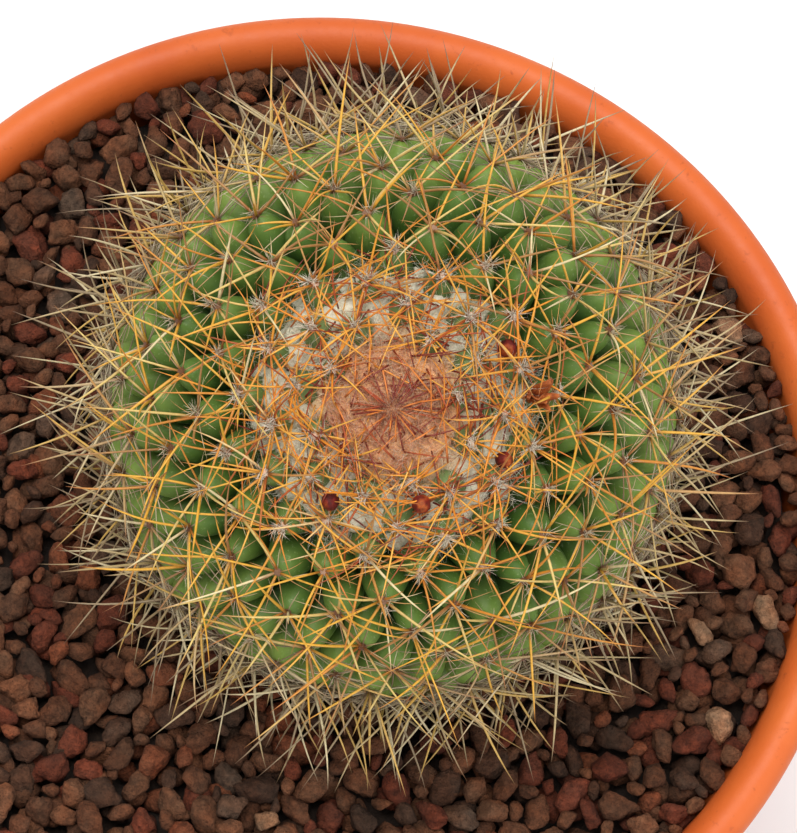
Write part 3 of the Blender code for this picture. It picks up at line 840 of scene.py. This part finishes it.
def build_spines(cells):
    """Central and radial spines of every areole, in a few pieces by height on the plant."""
    places = areole_frames(cells)
    theta = np.degrees(places[4])
    rng = np.random.default_rng(21)
    grown = smoothstep(10.0, 42.0, theta)
    old = smoothstep(104.0, 126.0, theta)
    fewer = rng.uniform(size=len(theta)) < 0.5
    count = np.where(theta < 32.0, np.where(fewer, 9, 11), np.where(fewer, 5, 6))
    count[theta < 13.0] = 8
    upper = [(34.0 - 2.0 * g, 88.0 - 14.0 * g) for g in grown]
    away = [u if t < 75.0 else (22.0, 66.0 + 14.0 * o) for u, t, o in zip(upper, theta, old)]
    length = (0.0066 + 0.0076 * grown) * (1.0 - 0.42 * old)
    radius = (0.00013 + 0.00005 * grown) * (1.0 - 0.2 * old)
    central = spine_set(places, count, away, length, radius, rng, bend=0.24, jitter=0.5, shortest=0.55)
    bands = (("crown", 0.0, 32.0), ("shoulder", 32.0, 75.0), ("flank", 75.0, 180.0))
    add_bands("spines_central", bands, central, central_colour, 0.42, 8, 6, nodes_named("spine_cluster"))

    count = np.select([theta < 32.0, theta < 56.0, theta < 70.0, theta < 118.0], [6, 8, 14, 20], 12)
    away = [(60.0, 84.0) if t < 56.0 else (66.0, 94.0) for t in theta]
    length = (0.0026 + 0.0042 * smoothstep(22.0, 62.0, theta)) * (1.0 - 0.3 * old)
    radius = 0.00005 + 0.000035 * smoothstep(20.0, 60.0, theta)
    radial = spine_set(places, count, away, length, radius, rng, bend=0.2, jitter=0.45, shortest=0.62)
    bands = (("upper", 0.0, 58.0), ("middle", 58.0, 85.0), ("lower", 85.0, 180.0))
    add_bands("spines_radial", bands, radial, radial_colour, 0.5, 5, 4)


def outward(turn):
    """Unit vectors away from the plant's axis and across, at an azimuth."""
    out = np.array([math.cos(turn), math.sin(turn), 0.0])
    return out, np.array([-out[1], out[0], 0.0])


def above(height):
    return np.array([0.0, 0.0, height])


def felt_level(reach):
    """Height of the crown's low dome at a distance from the axis."""
    return CORE_HALF_HEIGHT + 0.0016 + 0.0019 * max(1.0 - (reach / 0.0078) ** 2, 0.0)


def build_apex_spines():
    """Young spines of the crown: dark spokes meeting at the apex, and a loose thatch round them."""
    rng = np.random.default_rng(31)
    spines = [[] for _ in range(7)]

    def put(base, direction, bend, length, radius, degrees):
        values = (base, direction, bend, length, radius, math.radians(degrees), rng.uniform())
        for one, value in zip(spines, values):
            one.append(value)

    for k in range(APEX_SPOKES):
        out, side = outward(GOLDEN_ANGLE * k + rng.uniform(-0.2, 0.2))
        reach = rng.uniform(0.0024, 0.0060)
        base = out * reach + above(felt_level(reach) + 0.0006)
        goal = out * rng.uniform(0.0, 0.0010) + above(felt_level(0.0) + rng.uniform(0.0007, 0.0016))
        span = goal - base
        bend = side * rng.normal() * 0.10
        put(base, unit(span), bend, np.linalg.norm(span), rng.uniform(0.00010, 0.00013), 1.0)
    for k in range(THATCH_SPINES):
        out, side = outward(GOLDEN_ANGLE * k)
        share = (k + 0.5) / THATCH_SPINES
        reach = 0.0044 + 0.0150 * share**0.8
        theta = reach / 0.0300
        on_side = reach > 0.0078
        height = CORE_HALF_HEIGHT * math.cos(theta) + 0.0034 if on_side else felt_level(reach) + 0.0006
        around = rng.choice((-1.0, 1.0)) * rng.normal(math.pi / 2.0, 0.75)
        tilt = math.radians(rng.uniform(62.0, 92.0))
        direction = (out * math.cos(around) + side * math.sin(around)) * math.sin(tilt)
        direction = direction + above(math.cos(tilt)) - out * 0.15 * theta
        direction = unit(direction + (out * 0.25 if reach < 0.0085 else 0.0))
        length = rng.uniform(0.0042, 0.0082) + 0.0030 * share
        bend = side * rng.normal() * 0.16 - out * 0.10 + above(-rng.uniform(0.08, 0.30))
        dark = rng.uniform() < 0.80 - 46.0 * (reach - 0.0044)
        tone = 2.0 if dark else rng.uniform(16.0, 23.0) + 9.0 * share
        put(out * reach + above(height), direction, bend, length, rng.uniform(0.00009, 0.00014), tone)
    spines = [np.array(v) for v in spines]
    add_spines("spines_apex", spines, central_colour, spine_material("spines_apex", 0.42), 7, 5)


# ---------------------------------------------------------------- wool and areoles


def fibres(name, places, per_place, spread, length, radius, curl, material, seed, lean=0.6):
    """Tangled fine hairs around each place; places are their centres, normals and colours."""
    rng = np.random.default_rng(seed)
    base, normal, tone = (np.repeat(v, per_place, axis=0) for v in places)
    count = len(base)
    base = base + rng.normal(size=(count, 3)) * spread
    direction = unit(rng.normal(size=(count, 3)) + normal * lean)
    bend = rng.normal(size=(count, 3)) * curl
    lengths = length * rng.uniform(0.5, 1.3, count)
    points, faces, _, number = tubes(base, direction, bend, lengths, np.full(count, radius), 3, 3)
    tint = tone[number] * rng.uniform(0.85, 1.06, (count, 1))[number]
    own(add_mesh(name, to_world(points), faces, material, tint), "wool")


def build_felt():
    """The felt cushion at the apex."""
    apex = (0.0, 0.0, CORE_HALF_HEIGHT + 0.0010)
    cushion = blob(apex, (0.0, 0.0, 1.0), FELT_RADIUS, FELT_HEIGHT, 6, 0.09, 3)
    add_blobs("crown_felt", [(*cushion, srgb(255, 194, 140))], wool_material("felt", 0.80), "crown_wool")


def add_felt_hairs(material, rng):
    """Fine salmon hairs on the felt."""
    edge = 0.0084
    ring = rng.normal(size=(2000, 2)) * 0.0040
    ring = ring[np.hypot(ring[:, 0], ring[:, 1]) < edge]
    far = np.hypot(ring[:, 0], ring[:, 1])
    level = CORE_HALF_HEIGHT + 0.0009 + 0.0019 * np.sqrt(np.clip(1.0 - (far / edge) ** 2, 0.0, 1.0))
    normals = np.tile([0.0, 0.0, 1.0], (len(ring), 1))
    colours = mix(srgb(255, 214, 184), srgb(236, 138, 92), rng.uniform(size=len(ring)))
    places = (np.column_stack([ring, level]), normals, colours)
    fibres("crown_felt_hairs", places, 3, 0.0003, 0.0014, 0.000034, 0.7, material, 47, lean=0.2)


def build_wool(corners):
    """White wool packed between the young tubercles, covered in fine hairs like the felt."""
    material = wool_material("wool")
    rng = np.random.default_rng(37)
    parts, centres, normals, colours = [], [], [], []
    for number, corner in enumerate(corners):
        theta = polar_angle(corner)
        share = 1.0 - float(past_angle(24.0, 37.0, theta))
        if share < 0.08:
            continue
        normal = core_normal(corner)
        inner = 1.0 - past_angle(14.0, 20.0, theta)
        white = mix(srgb(254, 249, 226), srgb(255, 212, 160), inner)
        lift = -0.0006 + 0.62 * grown_height(theta) * share
        reach, height = 0.0011 + 0.0006 * share, 0.0006 + 0.0005 * share
        parts.append((*blob(corner + normal * (lift - 0.0003), normal, reach, height, 3, 0.3, number), white))
        for _ in range(5):
            shift = Vector(rng.normal(size=3)) * 0.0008
            centres.append(np.array(corner + normal * (lift + 0.0003) + shift))
            normals.append(np.array(normal))
            colours.append(mix(white, srgb(255, 252, 236), rng.uniform(0.0, 0.8)))
    add_blobs("crown_wool_tufts", parts, material)
    places = (np.array(centres), np.array(normals), np.array(colours))
    for half in (0, 1):
        name, chosen = f"crown_wool_hairs_{half + 1}", [v[half::2] for v in places]
        fibres(name, chosen, 15, 0.0006, 0.0017, 0.000036, 0.7, material, 41 + half)
    add_felt_hairs(material, rng)


def bristle_tufts(theta, rng):
    """How many tufts of bristles an areole carries: most at the crown, none on the flanks."""
    if theta < math.radians(36.0):
        return 4
    if theta < math.radians(52.0):
        return 2 if rng.uniform() < 0.7 else 0
    return 1 if theta < math.radians(70.0) and rng.uniform() < 0.6 else 0


def build_areoles(cells):
    """The small cushion under each spine cluster, with stars of white bristles on the young ones."""
    material = wool_material("areole_felt", 0.95)
    parts, centres, normals, colours = [], [], [], []
    rng = np.random.default_rng(51)
    for number, cell in enumerate(c for c in cells if c["height"] > 0.0):
        theta, normal = cell["theta"], cell["normal"]
        tip = cell["middle"] + normal * (cell["height"] + 0.00005)
        young = 1.0 - float(past_angle(26.0, 48.0, theta))
        tone = mix(srgb(116, 76, 50), srgb(250, 206, 176), young)
        parts.append((*blob(tip, normal, 0.00058, 0.00034, 2, 0.4, number), tone))
        for _ in range(bristle_tufts(theta, rng)):
            shift = Vector(rng.normal(size=3)) * 0.0003
            centres.append(np.array(tip + normal * 0.0004 + shift))
            normals.append(np.array(normal))
            colours.append(mix(srgb(230, 214, 184), srgb(255, 244, 226), young))
    add_blobs("areole_pads", parts, material)
    places = (np.array(centres), np.array(normals), np.array(colours))
    fibres("areole_bristles", places, 11, 0.00014, 0.0017, 0.000052, 0.08, material, 53, lean=0.7)


# ---------------------------------------------------------------- buds and dried flower


def upright_at(node):
    """The frame at a node's middle, its Z along the plant's outward normal there."""
    low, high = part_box(node)
    centre = (low + high) / 2.0
    normal = PLANT_FRAME.to_3x3() @ core_normal(PLANT_FRAME.inverted() @ centre)
    turn = Vector((0.0, 0.0, 1.0)).rotation_difference(normal).to_matrix().to_4x4()
    return Matrix.Translation(centre) @ turn


def bud_profile(number):
    """Rings (height, radius) of a closed bud, ending in a blunt tip, each bud a little different."""
    swell = 1.0 + 0.06 * math.sin(2.3 * number)
    return (
        (-0.0023, 0.0002),
        (-0.0015, 0.0005 * swell),
        (-0.0008, 0.00080 * swell),
        (-0.0002, 0.00098 * swell),
        (0.0003, 0.00102 * swell),
        (0.0008, 0.00088 * swell),
        (0.00115, 0.00064 * swell),
        (0.0014, 0.00038),
        (0.0015, 0.00014),
    )


def build_buds():
    """Dark red buds among the crown tubercles, wrapped in overlapping scales."""
    material = bud_material()
    turns = [2.0 * math.pi * k / 35 for k in range(35)]
    for number, name in enumerate(nodes_named("flower_bud")):
        frame_of = upright_at(name)
        rings = []
        for row, (height, radius) in enumerate(bud_profile(number)):
            ring = []
            for t in turns:
                scale = abs(math.sin(2.5 * t + 1.1 * row + number))
                r = radius * (0.93 + 0.13 * scale)
                ring.append(frame_of @ Vector((r * math.cos(t), r * math.sin(t), height + 0.00012 * scale)))
            rings.append(ring)
        points, faces = [], []
        add_rings(points, faces, rings, closed_start=True)
        own(add_mesh(f"bud_{number + 1}", points, faces, material), "buds", name)


def add_petal(points, faces, frame_of, petal, rng):
    """A narrow crumpled strip of two layers, closed round its rim."""
    turn = 2.0 * math.pi * petal / 11 + rng.uniform(-0.2, 0.2)
    flare, twist, width = rng.uniform(0.2, 0.75), rng.uniform(-0.8, 0.8), rng.uniform(0.00035, 0.0006)
    rows, across = 9, 4
    start, size = len(points), rows * across
    for layer in (0.0, 0.00006):
        for r in range(rows):
            s = r / (rows - 1)
            out = 0.0003 + 0.0021 * flare * s**1.5
            height = -0.0021 + 0.0046 * s * (1.0 - 0.2 * flare)
            half = width * math.sin(math.pi * min(0.12 + 0.8 * s, 0.97))
            spin = turn + twist * s
            cosine, sine = math.cos(spin), math.sin(spin)
            for a in range(across):
                q = (a / (across - 1) - 0.5) * 2.0
                x = out + 0.0003 * q * q + 0.00012 * math.sin(9.0 * s + petal) + layer
                y = q * half
                points.append(frame_of @ Vector((x * cosine - y * sine, x * sine + y * cosine, height)))
    for r in range(rows - 1):
        for a in range(across - 1):
            i = start + r * across + a
            j = i + size
            faces.append((i, i + across, i + across + 1, i + 1))
            faces.append((j, j + 1, j + across + 1, j + across))
    rim = [start + a for a in range(across)]
    rim += [start + r * across + across - 1 for r in range(1, rows)]
    rim += [start + (rows - 1) * across + a for a in range(across - 2, -1, -1)]
    rim += [start + r * across for r in range(rows - 2, 0, -1)]
    for i, j in zip(rim, rim[1:] + rim[:1]):
        faces.append((i, j, j + size, i + size))


def build_dried_flower():
    """One spent flower: narrow crumpled petals, thin closed strips flaring from its base."""
    frame_of = upright_at("dried_flower")
    rng = np.random.default_rng(61)
    points, faces = [], []
    for petal in range(11):
        add_petal(points, faces, frame_of, petal, rng)
    own(add_mesh("dried_flower_petals", points, faces, petal_material()), "dried_flower", "dried_flower")


# ---------------------------------------------------------------- gravel

PEBBLE_TONES = (
    (srgb(114, 77, 56), 0.32),
    (srgb(128, 88, 64), 0.24),
    (srgb(120, 66, 48), 0.17),
    (srgb(90, 66, 52), 0.15),
    (srgb(138, 82, 56), 0.06),
    (srgb(112, 88, 72), 0.06),
)
LARGE_PEBBLE = 0.0017  # pebbles above this radius get the finer shapes
GRID_STEP = 0.006


class Layout:
    """Circles of mixed size in the pot's mouth, each touching its neighbours by no more than a share."""

    def __init__(self, limit, pack):
        self.limit, self.pack = limit, pack
        self.placed, self.grid = [], {}

    def free(self, x, y, radius):
        if math.hypot(x, y) > self.limit - radius * 0.8:
            return False
        gx, gy = int(x // GRID_STEP), int(y // GRID_STEP)
        near = (i for dx in (-1, 0, 1) for dy in (-1, 0, 1) for i in self.grid.get((gx + dx, gy + dy), ()))
        for i in near:
            ox, oy, other = self.placed[i]
            if math.hypot(x - ox, y - oy) < self.pack * (radius + other):
                return False
        return True

    def put(self, x, y, radius):
        self.grid.setdefault((int(x // GRID_STEP), int(y // GRID_STEP)), []).append(len(self.placed))
        self.placed.append((x, y, radius))


def scatter(limit, smallest, largest, tries, fixed, rng, pack):
    """A packed layer of circles: a row along the wall, then ever smaller ones in what is left."""
    layout = Layout(limit, pack)
    for place in fixed:
        layout.put(*place)
    turn = 0.0
    while turn < 2.0 * math.pi:
        radius = smallest + (largest - smallest) * rng.uniform(0.15, 0.8)
        far = limit - radius * 0.85
        x, y = far * math.cos(turn), far * math.sin(turn)
        if layout.free(x, y, radius):
            layout.put(x, y, radius)
        turn += 1.7 * radius / far
    for attempt in range(tries):
        share = attempt / tries
        radius = smallest + (largest - smallest) * (1.0 - share) ** 1.7 * rng.uniform(0.6, 1.0)
        turn, far = rng.uniform(0.0, 2.0 * math.pi), limit * math.sqrt(rng.uniform())
        x, y = far * math.cos(turn), far * math.sin(turn)
        if math.hypot(x - BODY_BASE.x, y - BODY_BASE.y) < PEBBLE_HOLE + radius:
            continue
        if layout.free(x, y, radius):
            layout.put(x, y, radius)
    return layout.placed[len(fixed) :]


def pebble_shapes(count, detail):
    """Unit pebbles, broken, flat-sided and long stones with a rough surface, and their faces."""
    ball, faces = icosphere(detail)
    unit_points = np.array(ball)
    rng = np.random.default_rng(71)
    shapes = []
    for number in range(count):
        planes = unit(rng.normal(size=(11, 3)))
        cuts = rng.uniform(0.50, 0.90, 11)
        reach = np.ones(len(unit_points)) * 1.05
        for plane, cut in zip(planes, cuts):
            facing = unit_points @ plane
            hit = np.where(facing > 0.05, cut / np.maximum(facing, 0.05), 9.0)
            reach = -0.022 * np.log(np.exp(-reach / 0.022) + np.exp(-hit / 0.022))
        lumps = np.array([noise.noise(p * 2.2 + Vector((number * 3.1, 0.0, 0.0))) for p in ball])
        fine = np.array([noise.noise(p * 5.5 + Vector((0.0, number * 2.7, 0.0))) for p in ball])
        pits = np.array([noise.noise(p * 12.0 + Vector((0.0, 0.0, number * 1.9))) for p in ball])
        points = unit_points * (reach + 0.14 * lumps + 0.09 * fine + 0.04 * pits)[:, None]
        points *= np.array([1.2, rng.uniform(0.70, 1.0), rng.uniform(0.66, 0.95)])
        span = points.max(axis=0) - points.min(axis=0)
        shapes.append(points * 4.0 / (span[0] + span[1]))
    return shapes, np.array(faces)


def pebble_tone(rng):
    weights = np.array([w for _, w in PEBBLE_TONES])
    tone = np.array(PEBBLE_TONES[rng.choice(len(PEBBLE_TONES), p=weights / weights.sum())][0])
    return tone * rng.uniform(0.55, 0.85)


def underside_of(body):
    """A search tree of the body's low points, to keep the gravel clear of it, and the points."""
    low = [v.co for v in body.data.vertices if v.co.z < GRAVEL_TOP + 0.012]
    tree = KDTree(len(low))
    for i, co in enumerate(low):
        tree.insert(Vector((co.x, co.y, 0.0)), i)
    tree.balance()
    return tree, low


def ceiling(underside, x, y, radius):
    """Highest that gravel may reach at a place: its own level, or just under the plant."""
    tree, low = underside
    top = GRAVEL_TOP
    for _, index, _ in tree.find_range(Vector((x, y, 0.0)), radius + 0.0012):
        top = min(top, low[index].z - 0.0002)
    return top


def add_stones(name, stones, material, kind, rng, nodes=()):
    """stones is a list of (centre, radius, tint, largest tilt); each gets a random shape and turn."""
    shapes, faces = kind
    all_points, all_faces, all_tints = [], [], []
    offset = 0
    for centre, radius, tint, tilt in stones:
        shape = shapes[rng.integers(len(shapes))]
        spin = Matrix.Rotation(rng.uniform(0.0, 2.0 * math.pi), 3, "Z")
        tip = Matrix.Rotation(rng.uniform(-tilt, tilt), 3, Vector(rng.normal(size=3)).normalized())
        points = shape @ np.array(tip @ spin).T * radius + np.array(centre)
        all_points.append(points)
        all_faces.append(faces + offset)
        all_tints.append(np.tile(tint, (len(points), 1)))
        offset += len(points)
    points, faces, tints = (np.concatenate(v) for v in (all_points, all_faces, all_tints))
    own(add_mesh(name, points, faces, material, tints), "lava_gravel", *nodes)


def build_gravel(body):
    """Two layers of lava pebbles over a dark grit bed, and the larger loose stones on them."""
    rng = np.random.default_rng(77)
    underside = underside_of(body)
    material = lava_material()
    fine, plain = pebble_shapes(30, 3), pebble_shapes(30, 2)
    limit = pot_inner_radius(GRAVEL_TOP) - 0.0002
    loose, fixed = [], []
    loose_nodes = nodes_named("lava_stone") + nodes_named("pale_stone")
    for name in loose_nodes:
        low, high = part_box(name)
        centre, size = (low + high) / 2.0, high - low
        radius = max(size.x, size.y) / 2.0
        pale = name.startswith("pale")
        tone = np.array(srgb(158, 122, 94)) * rng.uniform(0.8, 1.1) if pale else pebble_tone(rng)
        loose.append((centre - Vector((0.0, 0.0, 0.0004)), radius * 0.98, tone, 0.4))
        fixed.append((centre.x, centre.y, radius))
    add_stones("loose_stones", loose, material, fine, rng, loose_nodes)

    upper = []
    for x, y, radius in scatter(limit, 0.0008, 0.0023, 90000, fixed, rng, 0.86):
        top = ceiling(underside, x, y, radius)
        in_open = top >= GRAVEL_TOP
        z = top - radius * (0.35 if in_open else 0.75) + rng.uniform(-0.0008, 0.0004) * in_open
        upper.append((Vector((x, y, z)), radius * 1.04, pebble_tone(rng), 1.2))
    large = [s for s in upper if s[1] > LARGE_PEBBLE]
    small = [s for s in upper if s[1] <= LARGE_PEBBLE]
    for part in range(2):
        nodes = () if part else ("gravel_bed",)
        add_stones(f"gravel_large_{part + 1}", large[part::2], material, fine, rng, nodes)
        add_stones(f"gravel_small_{part + 1}", small[part::2], material, plain, rng)
    lower = []
    for x, y, radius in scatter(limit, 0.0013, 0.0022, 9000, [], rng, 0.84):
        top = ceiling(underside, x, y, radius) - 0.0012
        # Painted shade: the lower layer's tones are darkened by 0.85 for lying under the upper layer.
        lower.append((Vector((x, y, top - radius * 0.8)), radius * 1.04, pebble_tone(rng) * 0.85, 1.2))
    add_stones("gravel_lower", lower, material, plain, rng)
    build_grit(underside)


def build_grit(underside):
    """The bed of fine dark grit under the pebbles, a lumpy closed layer."""
    rings, count = 22, 120
    outer = pot_inner_radius(GRAVEL_BOTTOM) - 0.0004
    points = []
    for r in range(rings + 1):
        for k in range(count):
            t = 2.0 * math.pi * k / count
            inner = Vector((BODY_BASE.x + GRIT_HOLE * math.cos(t), BODY_BASE.y + GRIT_HOLE * math.sin(t)))
            place = inner.lerp(Vector((outer * math.cos(t), outer * math.sin(t))), r / rings)
            level = min(GRAVEL_TOP - 0.0050, ceiling(underside, place.x, place.y, 0.001) - 0.004)
            lump = 0.0008 * noise.noise(Vector((place.x, place.y, 0.0)) * 480.0)
            points.append((place.x, place.y, max(level + lump, GRAVEL_BOTTOM + 0.0008)))
    for r in (rings, 0):
        points += [(x, y, GRAVEL_BOTTOM + 0.0002) for x, y, _ in points[r * count : (r + 1) * count]]
    faces = wrapped_quads(rings + 3, count)[:, [0, 3, 2, 1]]
    own(add_mesh("gravel_grit", points, faces, soil_material()), "lava_gravel")


def repaint_soil():
    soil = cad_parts["potting_mix"]
    for slot_of in soil.material_slots:
        slot_of.material = soil_material()
    if not soil.material_slots:
        soil.data.materials.append(soil_material())


# ---------------------------------------------------------------- stage


def build_stage():
    corners = [(-3.0, -3.0, -0.0002), (3.0, -3.0, -0.0002), (3.0, 3.0, -0.0002), (-3.0, 3.0, -0.0002)]
    add_mesh("studio_floor", corners, [(0, 1, 2, 3)], floor_material())
    world = bpy.data.worlds.new("studio")
    world.use_nodes = True
    background = world.node_tree.nodes["Background"]
    background.inputs["Color"].default_value = (0.96, 0.975, 1.0, 1.0)
    background.inputs["Strength"].default_value = 0.68
    bpy.context.scene.world = world
    lamps = (
        ("key", (-0.22, 0.24, 1.40), 1.0, 17.0, (1.0, 0.975, 0.94)),
        ("fill", (0.9, -0.6, 0.9), 1.1, 6.0, (0.95, 0.97, 1.0)),
    )
    for name, place, size, power, colour in lamps:
        light = bpy.data.lights.new(name, "AREA")
        light.shape = "DISK"
        light.size = size
        light.energy = power
        light.color = colour
        lamp = bpy.data.objects.new(name, light)
        lamp.location = place
        aim = Vector((0.0, 0.0, POT_HEIGHT)) - Vector(place)
        lamp.rotation_euler = aim.to_track_quat("-Z", "Y").to_euler()
        bpy.context.scene.collection.objects.link(lamp)
    bpy.context.scene.view_settings.view_transform = "Standard"


def build_camera():
    """Looks down on the rim from the front, a little rolled, from well away."""
    elevation = math.radians(72.3)
    roll = math.radians(10.62)
    distance = 0.60
    aim = Vector((0.00634, 0.01237, POT_HEIGHT))
    forward = Vector((0.0, math.cos(elevation), -math.sin(elevation)))
    right = Vector((1.0, 0.0, 0.0))
    up = right.cross(forward)
    turned_right = right * math.cos(roll) + up * math.sin(roll)
    turned_up = up * math.cos(roll) - right * math.sin(roll)
    camera = bpy.data.objects.new("camera", bpy.data.cameras.new("camera"))
    camera.data.lens = 208.7
    camera.data.sensor_width = 36.0
    camera.data.clip_start = 0.05
    camera.data.clip_end = 10.0
    camera.matrix_world = Matrix(
        (
            (turned_right.x, turned_up.x, -forward.x, aim.x - forward.x * distance),
            (turned_right.y, turned_up.y, -forward.y, aim.y - forward.y * distance),
            (turned_right.z, turned_up.z, -forward.z, aim.z - forward.z * distance),
            (0.0, 0.0, 0.0, 1.0),
        )
    )
    bpy.context.scene.collection.objects.link(camera)
    bpy.context.scene.camera = camera


def main():
    build_camera()
    build_stage()
    build_pot()
    cells, corners = body_cells()
    body = build_body(cells, corners)
    build_gravel(body)
    repaint_soil()
    build_spines(cells)
    build_apex_spines()
    build_felt()
    build_wool(corners)
    build_areoles(cells)
    build_buds()
    build_dried_flower()


main()
